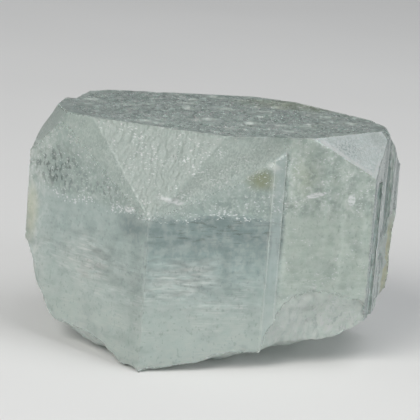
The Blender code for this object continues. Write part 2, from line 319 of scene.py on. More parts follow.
def ledgeSink(spot):
    # how far the front above the ledge is drawn in, so that it runs softly down to the floor
    start, rise = skin["ledgeLine"]
    outward = kindNormals[kindNames.index("front")].dot(spot) - skin["floorBelow"] + 0.2
    if outward <= 0.0 or spot.x > skin["ledgeEdge"] or spot.z < 9.0:
        return 0.0
    above = (spot.z - start - rise * spot.x + 0.5 * wave(spot, 1.4, 1.4, 1.4, 11.0)) / skin["ledgeFade"]
    crest = 0.4 * smooth(1.6, 2.8, -spot.x)    # a little of the step stays at its left end
    share = (1.0 - crest) * (1.0 - smooth(0.0, 1.0, above))
    return outward * share * (0.35 + 0.65 * smooth(0.0, 0.9, skin["ledgeEdge"] - spot.x))


def frostAt(spot, name):
    if name != "front":
        return frost.get(name, 0.0)
    outer = kindNormals[kindNames.index("front")].dot(spot) > skin["floorBelow"]
    return 0.85 if outer and spot.x < skin["ledgeEdge"] - 0.3 else 0.0


def reliefAt(spot, name, normal):
    # how deep the surface lies below the CAD's own face there, mm, always inwards
    swell = skin["prismSwell"] * (1.0 + wave(spot, 1.7, 1.7, 1.7) + 0.5 * wave(spot, 0.5, 0.5, 0.5, 3.0))
    share = frostAt(spot, name)
    if name == "pinacoid":
        return terracedTop(spot)
    if share:
        return streakedSlope(spot, normal, share)
    if name == "right":
        return max(0.0, ledgedUpright(spot, normal, skin["ledgeDepth"])) + 0.3 * swell
    if name in ("rightBack", "back", "leftBack"):
        return max(0.0, ledgedUpright(spot, normal, 0.6 * skin["ledgeDepth"])) + swell
    if name == "broken":
        return brokenFace(spot)
    return swell


def spread(values, ends, turns):
    # lets a mask run softly into the cells around it
    count = np.bincount(ends.ravel(), minlength=len(values))
    for turn in range(turns):
        around = np.bincount(ends[:, 0], values[ends[:, 1]], len(values))
        around += np.bincount(ends[:, 1], values[ends[:, 0]], len(values))
        values = 0.5 * values + 0.5 * around / np.maximum(count, 1)
    return values


def growSkin():
    bm, layer = cutSkin()
    print("skin cut into", len(bm.faces), "faces")
    low, high = (Vector(corner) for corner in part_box("aquamarine_crystal"))
    titles = (
        "etched", "frosted", "shadedFrontBevel", "frostAndSheen", "glossy", "broken", "riser", "wear", "rim", "paintedHighlightBand")
    masks = {title: np.zeros(len(bm.verts)) for title in titles}
    moves, highlightTo = [], skin["highlightBandWithin"]
    bm.verts.index_update()
    for index, vert in enumerate(bm.verts):
        spot = vert.co / mm
        kinds = {face[layer] for face in vert.link_faces}
        names = [kindNames[kind] for kind in kinds if kind != 1]
        depths = [reliefAt(spot, name, kindNormals[kindNames.index(name)] or vert.normal) for name in names]
        depth = sum(depths) / max(1, len(depths))
        if 1 in kinds:
            nick = max(0.0, wave(spot, 0.8, 0.8, 0.8, 8.0) + 0.6 * wave(spot, 0.25, 0.25, 0.25, 4.0) - 0.14)
            depth = min(depth, 0.02) + skin["creaseWear"] + skin["creaseNicks"] * nick
            # the right corner bevel's creases are kept apart as its rim, which is painted bright partly as a
            # highlight
            masks["rim" if "rightCorner" in names else "wear"][index] = min(1.0, 0.6 + 2.0 * nick)
            # the lower creases of the right corner's bevel are marked for a painted highlight
            masks["paintedHighlightBand"][index] = "rightCorner" in names and spot.x < highlightTo[0] and spot.z < highlightTo[1]
        for name in names:
            masks["etched"][index] = max(masks["etched"][index], name == "pinacoid")
            masks["frosted"][index] = max(masks["frosted"][index], frostAt(spot, name))
            masks["shadedFrontBevel"][index] = max(masks["shadedFrontBevel"][index], name == "frostedFront")
            # the right corner's bevel: frosted, and painted lighter partly as a highlight
            masks["frostAndSheen"][index] = max(masks["frostAndSheen"][index], name == "rightCorner")
            masks["glossy"][index] = max(masks["glossy"][index], name == "right")
            masks["broken"][index] = max(masks["broken"][index], name == "broken")
            masks["riser"][index] = max(masks["riser"][index], name == "ledgeRiser")
        known = [kindNormals[kindNames.index(name)] for name in names if name != "broken"]
        outward = sum(known, Vector()).normalized() if known and len(known) == len(names) else vert.normal
        move = outward * (-max(0.0, depth) * mm)
        if any(name in ("front", "frostedFront", "ledgeSlope") for name in names):
            move -= kindNormals[kindNames.index("front")] * (ledgeSink(spot) * mm)
        moves.append(move)
    for vert, move in zip(bm.verts, moves):
        vert.co += move
        for axis in range(3):
            vert.co[axis] = min(high[axis], max(low[axis], vert.co[axis]))
    ends = np.array([[vert.index for vert in edge.verts] for edge in bm.edges])
    for title, values in masks.items():
        column = bm.verts.layers.float.new(title)
        for vert, value in zip(bm.verts, spread(values, ends, maskRings.get(title, 1))):
            vert[column] = float(value)
    for face in bm.faces:
        face.smooth = True
    mesh = bpy.data.meshes.new("crystalSkin")
    bm.to_mesh(mesh)
    bm.free()
    mesh.set_sharp_from_angle(angle=math.radians(skin["sharpAngle"]))
    return showMesh("crystalSkin", mesh)


# shader helpers

def put(tree, kind, inputs=None, **options):
    made = tree.nodes.new(kind)
    for option, value in options.items():
        setattr(made, option, value)
    for name, value in (inputs or {}).items():
        if isinstance(value, bpy.types.NodeSocket):
            tree.links.new(value, made.inputs[name])
        else:
            made.inputs[name].default_value = value
    return made.outputs


def calc(tree, operation, a, b=0.0):
    return put(tree, "ShaderNodeMath", {0: a, 1: b}, operation=operation)[0]


def reach(tree, value, low, high, to=(0.0, 1.0)):       # a soft step between low and high
    return put(tree, "ShaderNodeMapRange", {
        "Value": value, "From Min": low, "From Max": high, "To Min": to[0], "To Max": to[1],
    }, interpolation_type="SMOOTHSTEP")[0]


def tint(tree, share, under, over):
    return put(tree, "ShaderNodeMix", {0: share, 6: under, 7: over}, data_type="RGBA")[2]


def colour(red, green, blue):
    return (red, green, blue, 1.0)


def newGroup(name, inputs, outputs):
    group = bpy.data.node_groups.new(name, "ShaderNodeTree")
    for title, kind, value in inputs:
        socket = group.interface.new_socket(title, in_out="INPUT", socket_type=kind)
        if value is not None:
            socket.default_value = value
    for title, kind in outputs:
        group.interface.new_socket(title, in_out="OUTPUT", socket_type=kind)
    return group, group.nodes.new("NodeGroupInput").outputs, group.nodes.new("NodeGroupOutput").inputs


def placeGroup():       # object coordinates in millimetres, gently warped so that no border is ruled
    group, given, made = newGroup("placeInCrystal", [
        ("Warp", "NodeSocketFloat", 0.5),
    ], [("Place", "NodeSocketVector"), ("Warped", "NodeSocketVector")])
    spot = put(group, "ShaderNodeTexCoord")["Object"]
    place = put(group, "ShaderNodeVectorMath", {0: spot, 1: (1000.0,) * 3}, operation="MULTIPLY")[0]
    bend = put(group, "ShaderNodeTexNoise", {"Vector": place, "Scale": 0.45, "Detail": 2.0})["Color"]
    bend = put(group, "ShaderNodeVectorMath", {0: bend, 1: (0.5,) * 3}, operation="SUBTRACT")[0]
    bend = put(group, "ShaderNodeVectorMath", {0: bend, 3: given["Warp"]}, operation="SCALE")[0]
    warped = put(group, "ShaderNodeVectorMath", {0: place, 1: bend}, operation="ADD")[0]
    group.links.new(place, made["Place"])
    group.links.new(warped, made["Warped"])
    return group


def streakGroup():      # a mask of noise, stretched by its own grain size along each axis
    group, given, made = newGroup("stretchedPatches", [
        ("Place", "NodeSocketVector", None), ("Rate", "NodeSocketVector", (1.0, 1.0, 1.0)),
        ("Detail", "NodeSocketFloat", 3.0), ("Low", "NodeSocketFloat", 0.45), ("High", "NodeSocketFloat", 0.65),
    ], [("Mask", "NodeSocketFloat")])
    place = put(group, "ShaderNodeVectorMath", {0: given["Place"], 1: given["Rate"]}, operation="MULTIPLY")[0]
    value = put(group, "ShaderNodeTexNoise", {"Vector": place, "Scale": 1.0, "Detail": given["Detail"]})[0]
    group.links.new(reach(group, value, given["Low"], given["High"]), made["Mask"])
    return group


def spotGroup():        # a soft-edged patch about a centre
    group, given, made = newGroup("softPatch", [
        ("Place", "NodeSocketVector", None), ("Centre", "NodeSocketVector", (0.0, 0.0, 0.0)),
        ("Reach", "NodeSocketVector", (1.0, 1.0, 1.0)), ("Softness", "NodeSocketFloat", 0.6),
    ], [("Mask", "NodeSocketFloat")])
    away = put(group, "ShaderNodeVectorMath", {0: given["Place"], 1: given["Centre"]}, operation="SUBTRACT")[0]
    away = put(group, "ShaderNodeVectorMath", {0: away, 1: given["Reach"]}, operation="DIVIDE")[0]
    far = put(group, "ShaderNodeVectorMath", {0: away}, operation="LENGTH")["Value"]
    inner = calc(group, "SUBTRACT", 1.0, given["Softness"])
    group.links.new(reach(group, far, 1.0, inner), made["Mask"])
    return group


groups = {"place": placeGroup(), "streak": streakGroup(), "spot": spotGroup()}


def useGroup(tree, name, inputs):
    made = tree.nodes.new("ShaderNodeGroup")
    made.node_tree = groups[name]
    for title, value in inputs.items():
        if isinstance(value, bpy.types.NodeSocket):
            tree.links.new(value, made.inputs[title])
        else:
            made.inputs[title].default_value = value
    return made.outputs


def newMaterial(name):
    finish = bpy.data.materials.new(name)
    finish.use_nodes = True
    tree = finish.node_tree
    return finish, tree, tree.nodes["Principled BSDF"], tree.nodes["Material Output"]


# the aquamarine itself: clear, pale blue-green, with milky growth zones, frosted where it is etched

aquamarine = {
    "upper": colour(0.41, 0.495, 0.45),      # granular zone above the growth boundary
    "upperDark": colour(0.22, 0.29, 0.27),
    "left": colour(0.49, 0.58, 0.55),
    "front": colour(0.40, 0.505, 0.485),
    "band": colour(0.19, 0.255, 0.255),
    "low": colour(0.75, 0.84, 0.785),
    "right": colour(0.65, 0.73, 0.65),
    "milk": colour(0.95, 0.98, 0.93),
    "frost": colour(0.74, 0.80, 0.74),
    "frostDark": colour(0.40, 0.46, 0.42),
    # the right corner bevel's frost, painted lighter partly as a highlight
    "bright": colour(0.89, 0.94, 0.945),
    "speck": colour(0.05, 0.07, 0.06),
    "glint": colour(1.0, 1.0, 1.0),
    "riser": colour(0.62, 0.71, 0.70),
    "stain": colour(0.26, 0.28, 0.13),
    "rust": colour(0.84, 0.78, 0.50),
    "topPale": colour(0.57, 0.645, 0.605),
    "topDark": colour(0.30, 0.355, 0.33),
    "gloss": colour(0.27, 0.33, 0.33),      # clear and deep, where the face is smooth
    "glossPale": colour(0.62, 0.68, 0.66),
    "clearness": 0.62,
    "index": 1.577,
    "absorbs": colour(0.82, 0.95, 0.94),
    "density": 16.0,
    "scatter": 0.3,
    "scatterReach": (0.9, 1.1, 1.05),
    "scatterScale": 0.35,       # mm
    "grainDepth": 0.05,         # mm, the finest relief, which is bump only
    "grainStrength": 0.6,
}
# where coloured patches lie: centre and reach in mm
patches = {
    "olive": ((3.3, -10.5, 15.0), (1.5, 2.6, 1.1)),
    "oliveArc": ((4.0, -10.4, 15.95), (0.75, 2.6, 0.34)),
    "topStain": ((6.0, 6.0, 18.4), (6.5, 3.2, 1.0)),
    "leftRust": ((-14.3, -2.5, 9.8), (1.0, 3.0, 3.2)),
    "scarRust": ((14.6, 3.0, 7.0), (1.6, 2.6, 5.0)),
    "edgeDark": ((-6.1, -11.4, 11.2), (3.0, 3.0, 1.9)),
    "edgeShade": ((-5.5, -12.0, 6.0), (1.0, 1.4, 7.0)),
    "leftWisps": ((-9.8, -8.0, 7.2), (4.2, 4.0, 2.6)),
    "frontWisps": ((-2.2, -11.6, 7.3), (4.4, 3.0, 2.0)),
    "leftSpecks": ((-12.3, -5.4, 14.0), (4.2, 3.6, 2.2)),
    "wedgeSpecks": ((-8.2, -9.2, 13.2), (2.4, 2.4, 1.0)),
    "chip": ((10.0, -8.0, 3.6), (5.2, 3.0, 2.8)),
    "chipLine": ((9.2, -8.4, 5.4), (4.6, 3.0, 1.1)),
    "upperOlive": ((6.5, -9.2, 15.4), (1.3, 1.6, 2.8)),
    "bevelShade": ((12.6, -4.6, 17.9), (1.7, 2.0, 1.1)),
    "bevelPocks": ((9.7, -7.6, 17.5), (2.7, 2.4, 0.9)),
    # spots of painted glint: a lit crest at the ledge's left end, and three sparks
    "crest": ((-3.3, -11.6, 13.35), (1.3, 1.6, 0.26)),
    "sparkA": ((7.6, -8.9, 13.9), (0.9, 1.2, 0.28)),
    "sparkB": ((10.3, -8.0, 13.9), (0.34, 1.2, 0.6)),
    "sparkC": ((-6.3, -11.2, 12.3), (0.5, 1.0, 0.26)),
}
# the pattern of each finish: its fineness along x, y and z per mm, where its mask starts and where it is full,
# and its detail
grains = {
    "band": ((0.45, 0.45, 2.4), 0.30, 0.62, 3.0),
    "dashes": ((1.1, 1.1, 7.0), 0.54, 0.66, 4.0),
    "clouds": ((1.0, 1.0, 1.3), 0.44, 0.62, 5.0),
    "grain": ((3.4, 3.4, 3.4), 0.46, 0.70, 4.0),
    "wisps": ((0.75, 0.75, 6.0), 0.47, 0.62, 5.0),
    "broadWisps": ((0.35, 0.35, 2.6), 0.48, 0.66, 5.0),
    "rimGrain": ((2.0, 2.0, 1.4), 0.38, 0.62, 4.0),
    "swarms": ((0.30, 0.30, 0.55), 0.42, 0.60, 3.0),
    "threads": ((0.8, 0.8, 9.0), 0.46, 0.70, 5.0),
    "dusk": ((0.5, 0.5, 1.1), 0.48, 0.68, 5.0),
    "haze": ((0.8, 0.8, 2.0), 0.42, 0.62, 5.0),
    "mottle": ((1.5, 1.5, 1.5), 0.40, 0.64, 6.0),
    "pits": ((4.5, 4.5, 3.2), 0.58, 0.68, 3.0),
    "specks": ((2.6, 2.6, 1.9), 0.51, 0.58, 4.0),
    "sugar": ((7.5, 7.5, 5.5), 0.43, 0.60, 3.0),
    "sugarLumps": ((0.9, 0.9, 0.9), 0.30, 0.70, 2.0),
    "pocks": ((6.5, 6.5, 6.5), 0.50, 0.58, 2.0),
    "etched": ((1.7, 2.1, 1.7), 0.36, 0.62, 6.0),
    "topGlints": ((1.3, 2.2, 1.3), 0.58, 0.65, 4.0),
    "hollowShade": ((1.0, 1.7, 1.0), 0.56, 0.66, 4.0),
    "ribs": ((2.6, 2.6, 0.16), 0.54, 0.66, 3.0),
    "veins": ((3.0, 3.0, 0.5), 0.36, 0.64, 3.0),
    "hackle": ((1.9, 1.9, 0.8), 0.40, 0.62, 4.0),
    "hackleGlints": ((4.2, 4.2, 0.9), 0.57, 0.63, 3.0),
    "clefts": ((3.2, 3.2, 0.7), 0.58, 0.65, 2.0),
    "crowds": ((0.75, 0.75, 0.9), 0.40, 0.62, 2.0),
    "shine": ((4.6, 4.6, 7.6), 0.0, 1.0, 4.0),
    "sparks": ((3.0, 3.0, 6.0), 0.36, 0.55, 3.0),
}


def mask(tree, name):
    return put(tree, "ShaderNodeAttribute", attribute_name=name)["Fac"]


def aquamarineMaterial():
    finish, tree, shader, output = newMaterial("aquamarine")
    spots = useGroup(tree, "place", {"Warp": 1.4})
    place, warped = spots["Place"], spots["Warped"]
    height = put(tree, "ShaderNodeSeparateXYZ", {0: warped})["Z"]
    split = put(tree, "ShaderNodeSeparateXYZ", {0: place})
    across, away = split["X"], split["Y"]

    def streaks(name, where=place):
        rate, low, high, detail = grains[name]
        return useGroup(tree, "streak", {
            "Place": where, "Rate": rate, "Detail": detail, "Low": low, "High": high})[0]

    def patch(name, softness=0.7):
        centre, size = patches[name]
        return useGroup(tree, "spot", {
            "Place": warped, "Centre": centre, "Reach": size, "Softness": softness})[0]

    def both(a, b):
        return calc(tree, "MULTIPLY", a, b)

    def either(a, b):
        return calc(tree, "MAXIMUM", a, b)

    def over(under, share, tone):
        return tint(tree, share, under, aquamarine[tone])

    def partly(a, share):
        # keeps at least 1 - share of whatever it is multiplied into
        return calc(tree, "ADD", both(a, share), 1.0 - share)

    frosted, top, broken = mask(tree, "frosted"), mask(tree, "etched"), mask(tree, "broken")
    glossy, bright, riser = mask(tree, "glossy"), mask(tree, "frostAndSheen"), mask(tree, "riser")
    wear, rim, bevel = mask(tree, "wear"), mask(tree, "rim"), mask(tree, "shadedFrontBevel")
    paintedHighlightBand = both(bright, reach(tree, mask(tree, "paintedHighlightBand"), 0.015, 0.09))

    # growth zones: each face its own tone, granular above, milky below; the clear zone under the boundary is painted
    # dark, partly as shade seen through it
    ahead = reach(tree, away, -4.0, -6.5)
    behind = reach(tree, away, -1.0, 4.0)
    onFront = both(both(reach(tree, across, -5.2, -4.6), reach(tree, across, 5.6, 5.1)), ahead)
    onRight = both(reach(tree, across, 5.1, 5.6), ahead)
    body = tint(tree, onFront, aquamarine["left"], aquamarine["front"])
    body = over(body, onRight, "right")
    lower = reach(tree, height, 8.6, 3.2)
    body = over(body, both(lower, 0.85), "low")
    upper = reach(tree, height, 11.9, 12.7)
    body = over(body, both(upper, calc(tree, "SUBTRACT", 0.9, both(onRight, 0.65))), "upper")
    below = both(reach(tree, height, 12.4, 11.9), either(onFront, both(behind, 0.38)))
    band = both(both(below, reach(tree, height, 8.2, 10.4)), partly(streaks("band"), 0.4))
    # partly painted shade: the clear band is darkened to stand for the dark seen through it
    body = over(body, both(band, 0.88), "band")
    dashes = both(streaks("dashes"), both(below, reach(tree, height, 9.6, 10.6)))
    body = over(body, both(dashes, 0.6), "speck")
    # painted shade beside the left prism edge
    body = over(body, both(patch("edgeDark", 1.0), 0.95), "band")
    body = over(body, both(patch("edgeShade", 1.0), 0.26), "band")
    body = over(body, both(patch("upperOlive", 1.0), 0.38), "stain")

    clouds = both(streaks("clouds"), upper)
    body = over(body, both(clouds, 0.45), "upperDark")
    grain = streaks("grain")
    body = over(body, both(grain, calc(tree, "ADD", both(upper, 0.34), 0.07)), "milk")
    wisps = either(streaks("wisps"), both(streaks("broadWisps"), 0.6))
    feathered = either(patch("leftWisps", 0.9), both(patch("frontWisps", 0.9), 0.8))
    body = over(body, both(partly(wisps, 0.68), feathered), "milk")
    rimGrain = partly(streaks("rimGrain"), 0.75)
    body = over(body, both(both(reach(tree, across, -12.2, -14.2), rimGrain), 0.6), "milk")
    swarms = streaks("swarms")
    threads = both(streaks("threads"), reach(tree, height, 10.2, 6.0))
    body = over(body, both(both(threads, swarms), 0.5), "milk")
    dusk = both(streaks("dusk"), reach(tree, height, 12.0, 10.5))
    body = over(body, both(dusk, 0.22), "band")
    haze = both(streaks("haze"), both(reach(tree, height, 12.6, 11.4), reach(tree, height, 3.0, 6.0)))
    body = over(body, both(haze, 0.17), "band")
    mottle = streaks("mottle")
    body = over(body, both(mottle, 0.16), "milk")
    pits = streaks("pits")
    body = over(body, both(pits, 0.30), "band")
    specks = streaks("specks")
    speckled = either(either(patch("leftSpecks"), both(patch("wedgeSpecks"), 0.7)), both(onRight, 0.09))
    body = over(body, both(patch("leftSpecks", 1.0), 0.42), "upperDark")
    body = over(body, both(both(specks, speckled), 0.68), "speck")

    # finishes of the faces
    sugar = streaks("sugar")
    sugarLumps = streaks("sugarLumps")
    ice = tint(tree, partly(sugar, 0.85), aquamarine["frostDark"], aquamarine["frost"])
    ice = tint(tree, both(sugarLumps, 0.25), ice, aquamarine["frost"])
    # painted shade: the frosted front bevel, which faces the key lamp more, is darkened to match the front beside it
    ice = tint(tree, both(bevel, 0.62), ice, aquamarine["frostDark"])
    body = tint(tree, both(frosted, 0.85), body, ice)
    # the right corner's bevel: painted lighter partly as a highlight, pocked in the middle, painted darker behind as
    # shade where that highlight fades, and with a painted highlight along its lower edge
    body = over(body, both(bright, partly(sugar, 0.45)), "bright")
    body = over(body, both(both(bright, patch("bevelShade", 1.0)), 0.35), "frostDark")
    pocks = both(streaks("pocks"), both(bright, patch("bevelPocks", 0.9)))
    body = over(body, both(pocks, 0.55), "band")
    body = over(body, both(paintedHighlightBand, partly(sugar, 0.25)), "glint")
    # the etched top, its tone kept dark partly as a painted dark reflection
    etched = tint(tree, streaks("etched"), aquamarine["topDark"], aquamarine["topPale"])
    body = tint(tree, both(top, 0.95), body, etched)
    # painted glints on the etched top
    topGlints = both(streaks("topGlints"), top)
    body = over(body, both(topGlints, 0.55), "milk")
    # painted shade in the top's hollows
    hollowShade = both(streaks("hollowShade", warped), top)
    body = over(body, both(hollowShade, 0.45), "upperDark")
    # the ribbed right face, and the riser of the ledge
    ribs = streaks("ribs")
    gloss = tint(tree, both(ribs, 0.8), aquamarine["gloss"], aquamarine["glossPale"])
    body = tint(tree, both(glossy, 0.92), body, gloss)
    veined = partly(streaks("veins"), 0.5)
    body = over(body, both(both(riser, 0.62), veined), "riser")
    # broken areas, and the chip at the lower right
    hackle = streaks("hackle")
    cracked = either(both(broken, 0.7), both(patch("chip"), 0.45))
    body = over(body, both(cracked, partly(hackle, 0.7)), "milk")
    # painted glints: short bright strokes on broken areas and the chip
    hackleGlints = both(streaks("hackleGlints"), either(patch("chip"), both(broken, 0.5)))
    body = over(body, both(hackleGlints, 0.75), "glint")
    clefts = both(streaks("clefts", warped), either(patch("chip"), both(broken, 0.5)))
    body = over(body, both(clefts, 0.34), "band")

    # stains, rust and worn edges, with painted highlights along the riser's edges and the right corner bevel's rim
    body = over(body, both(patch("olive"), 0.8), "stain")
    body = over(body, both(patch("oliveArc"), 0.8), "milk")
    body = over(body, both(both(patch("topStain"), top), 0.45), "stain")
    body = over(body, both(patch("leftRust"), 0.45), "rust")
    body = over(body, both(both(patch("scarRust"), broken), 0.8), "rust")
    # worn creases, painted paler still along the riser as a highlight
    body = over(body, both(wear, calc(tree, "ADD", both(riser, 0.6), 0.2)), "milk")
    # the right corner bevel's rim: partly wear, partly a painted highlight
    body = over(body, both(rim, 0.9), "bright")

    # painted glints: thick along the growth boundary, thin elsewhere
    boundary = both(reach(tree, height, 11.6, 12.0), reach(tree, height, 13.0, 12.3))
    boundary = both(boundary, reach(tree, across, 5.6, 5.1))
    crowd = either(either(both(boundary, 0.85), both(upper, 0.42)), either(both(broken, 0.6), both(top, 0.75)))
    crowd = either(crowd, either(both(frosted, 0.62), both(patch("chipLine", 1.0), 1.1)))
    crowd = either(crowd, either(both(bright, 0.9), both(onRight, 0.30)))
    crowd = both(crowd, partly(streaks("crowds"), 0.75))
    shine = calc(tree, "ADD", streaks("shine"), both(crowd, 0.16))
    glints = both(reach(tree, shine, 0.70, 0.80), reach(tree, crowd, 0.05, 0.35))
    named = either(either(patch("sparkA", 0.3), patch("sparkB", 0.3)), either(patch("sparkC", 0.3), patch("crest")))
    glints = either(both(glints, 0.85), both(named, partly(streaks("sparks"), 0.8)))
    body = over(body, glints, "glint")
    tree.links.new(body, shader.inputs["Base Color"])

    rough = calc(tree, "ADD", both(frosted, 0.36), 0.11)
    rough = calc(tree, "ADD", rough, both(broken, 0.26))
    rough = calc(tree, "ADD", rough, both(top, 0.16))
    rough = calc(tree, "ADD", rough, both(grain, 0.08))
    tree.links.new(rough, shader.inputs["Roughness"])

    fine = put(tree, "ShaderNodeTexNoise", {"Vector": place, "Scale": 5.5, "Detail": 5.0, "Roughness": 0.6})[0]
    amount = calc(tree, "ADD", both(frosted, 0.8), 0.10)
    amount = calc(tree, "ADD", amount, both(top, 0.5))
    amount = calc(tree, "ADD", amount, both(broken, 0.6))
    amount = calc(tree, "ADD", amount, both(bright, 1.2))
    bump = put(tree, "ShaderNodeBump", {
        "Strength": aquamarine["grainStrength"], "Distance": aquamarine["grainDepth"] * mm,
        "Height": both(fine, amount)})["Normal"]
    tree.links.new(bump, shader.inputs["Normal"])

    shader.inputs["Transmission Weight"].default_value = aquamarine["clearness"]
    shader.inputs["IOR"].default_value = aquamarine["index"]
    shader.inputs["Subsurface Weight"].default_value = aquamarine["scatter"]
    shader.inputs["Subsurface Radius"].default_value = aquamarine["scatterReach"]
    shader.inputs["Subsurface Scale"].default_value = aquamarine["scatterScale"] * mm
    inside = put(tree, "ShaderNodeVolumeAbsorption", {
        "Color": aquamarine["absorbs"], "Density": aquamarine["density"]})[0]
    tree.links.new(inside, output.inputs["Volume"])
    return finish


# inclusions: what is trapped inside the crystal, strewn by one Geometry Nodes tree

# clusters of each kind: centre and spread in mm, how many, then the range of size along, across and up in mm
basalVeils = {
    "tilt": 4.0, "sides": 8, "rings": 4, "seed": 21, "clusters": (
        ((-9.4, -7.2, 7.2), (1.8, 1.4, 1.0), 120, (0.25, 0.9), (0.10, 0.45), (0.010, 0.030)),
        ((-1.8, -10.2, 7.4), (2.0, 1.2, 0.8), 110, (0.25, 1.0), (0.10, 0.45), (0.010, 0.028)),
        ((0.6, -9.0, 3.6), (3.2, 2.0, 1.4), 170, (0.20, 0.9), (0.10, 0.40), (0.008, 0.022)),
        ((8.6, -6.0, 4.6), (2.6, 2.0, 1.6), 60, (0.20, 0.7), (0.10, 0.35), (0.008, 0.022)),
        ((-9.0, -4.0, 3.6), (3.2, 3.0, 1.6), 90, (0.20, 0.8), (0.10, 0.40), (0.008, 0.024)),
        ((0.0, 3.0, 5.5), (8.0, 6.0, 2.6), 260, (0.30, 1.2), (0.15, 0.60), (0.010, 0.030)),
    ),
}
growthTubes = {
    "tilt": 1.2, "sides": 5, "rings": 6, "seed": 22, "clusters": (
        ((0.0, -8.0, 11.0), (7.0, 3.0, 4.0), 60, (0.012, 0.022), (0.012, 0.022), (0.35, 1.6)),
        ((0.0, 3.0, 9.0), (8.0, 6.0, 5.0), 70, (0.012, 0.025), (0.012, 0.025), (0.40, 2.0)),
    ),
}
darkGrains = {
    "tilt": 30.0, "sides": 6, "rings": 4, "seed": 23, "clusters": (
        ((-12.0, -5.0, 14.3), (1.5, 0.8, 0.8), 46, (0.03, 0.08), (0.03, 0.07), (0.04, 0.13)),
        ((11.4, -7.0, 15.4), (0.9, 0.6, 0.8), 18, (0.03, 0.07), (0.03, 0.06), (0.04, 0.10)),
        ((11.8, -6.8, 9.8), (0.6, 0.5, 0.9), 16, (0.03, 0.06), (0.03, 0.06), (0.04, 0.09)),
        ((0.5, -10.0, 11.3), (2.6, 0.8, 0.5), 26, (0.03, 0.08), (0.02, 0.05), (0.02, 0.04)),
        ((0.0, 2.0, 10.0), (8.0, 6.0, 4.0), 70, (0.03, 0.10), (0.03, 0.08), (0.03, 0.12)),
    ),
}
# bright flaws just under the front, which also glow faintly as painted glints: x, height and size in mm
brightFlaws = {
    "deep": (0.05, 0.30), "seed": 24, "sides": 5, "rings": 3, "glow": 0.35,
    "strewnSize": (0.028, 0.06),       # mm: the smallest, and how much more the largest has
    "thin": 0.4, "tall": (0.3, 0.8),    # of each one's size
    "named": (
        (-6.2, 12.2, 0.20), (-6.5, 12.3, 0.13), (-2.5, 12.4, 0.12), (-1.25, 12.0, 0.15), (-0.1, 11.9, 0.10),
        (0.3, 11.9, 0.13), (-1.6, 14.4, 0.11), (-0.2, 14.6, 0.13), (-0.6, 13.9, 0.12), (-3.3, 12.2, 0.10),
        (6.0, 17.2, 0.10), (7.0, 13.9, 0.16), (7.4, 13.9, 0.14), (8.3, 13.9, 0.10), (10.3, 13.9, 0.13),
        (10.3, 13.5, 0.12), (-9.0, 12.6, 0.10), (-10.3, 12.2, 0.09), (-13.3, 14.9, 0.10), (-11.0, 15.0, 0.10),
    ),
    # spans of x and height, and how many more are strewn there
    "strewn": (
        ((-12.5, -5.0), (11.9, 13.2), 46), ((-4.6, 5.2), (11.7, 12.4), 44), ((-4.6, 5.2), (12.4, 15.5), 40),
        ((5.6, 12.4), (12.0, 17.0), 26), ((-14.0, -9.0), (13.0, 16.0), 26), ((5.8, 12.5), (2.5, 6.2), 40),
        ((-13.0, -5.0), (2.0, 10.0), 26), ((-4.5, 5.2), (1.0, 10.0), 18),
    ),
}


def strewTree():
    tree = bpy.data.node_groups.new("strewnInclusions", "GeometryNodeTree")
    face = tree.interface
    face.new_socket("Geometry", in_out="INPUT", socket_type="NodeSocketGeometry")
    for title, value in (("Sides", 8), ("Rings", 4)):
        face.new_socket(title, in_out="INPUT", socket_type="NodeSocketInt").default_value = value
    face.new_socket("Scale", in_out="INPUT", socket_type="NodeSocketFloat").default_value = 1.0
    face.new_socket("Finish", in_out="INPUT", socket_type="NodeSocketMaterial")
    face.new_socket("Geometry", in_out="OUTPUT", socket_type="NodeSocketGeometry")
    given = tree.nodes.new("NodeGroupInput").outputs
    grain = put(tree, "GeometryNodeMeshUVSphere", {
        "Segments": given["Sides"], "Rings": given["Rings"], "Radius": given["Scale"]})["Mesh"]
    size = put(tree, "GeometryNodeInputNamedAttribute", {"Name": "size"}, data_type="FLOAT_VECTOR")[0]
    turn = put(tree, "GeometryNodeInputNamedAttribute", {"Name": "turn"}, data_type="FLOAT_VECTOR")[0]
    turn = put(tree, "FunctionNodeEulerToRotation", {0: turn})[0]
    strewn = put(tree, "GeometryNodeInstanceOnPoints", {
        "Points": given["Geometry"], "Instance": grain, "Rotation": turn, "Scale": size})["Instances"]
    real = put(tree, "GeometryNodeRealizeInstances", {0: strewn})[0]
    done = put(tree, "GeometryNodeSetMaterial", {"Geometry": real, "Material": given["Finish"]})[0]
    tree.links.new(done, tree.nodes.new("NodeGroupOutput").inputs[0])
    return tree


def strew(name, spots, settings, finish, strewn):
    # spots: place, size and turn of each inclusion, in mm and radians
    mesh = bpy.data.meshes.new(name + "Spots")
    mesh.from_pydata([tuple(place * mm) for place, _, _ in spots], [], [])
    for title, column in (("size", [size * mm for _, size, _ in spots]), ("turn", [turn for _, _, turn in spots])):
        mesh.attributes.new(title, "FLOAT_VECTOR", "POINT").data.foreach_set(
            "vector", [value for row in column for value in row])
    thing = showMesh(name + "Spots", mesh)
    strewer = thing.modifiers.new("strew", "NODES")
    strewer.node_group = strewn
    names = {item.name: item.identifier for item in strewn.interface.items_tree if item.in_out == "INPUT"}
    strewer[names["Sides"]] = settings["sides"]
    strewer[names["Rings"]] = settings["rings"]
    strewer[names["Scale"]] = 1.0
    strewer[names["Finish"]] = finish
    graph = bpy.context.evaluated_depsgraph_get()
    made = bpy.data.meshes.new_from_object(thing.evaluated_get(graph), depsgraph=graph)
    made.name = name
    thing.modifiers.remove(strewer)
    bpy.data.objects.remove(thing)
    piece = showMesh(name, made)
    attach(piece, "root")
    print(name, len(spots), "inclusions,", len(made.polygons), "faces")
    return piece


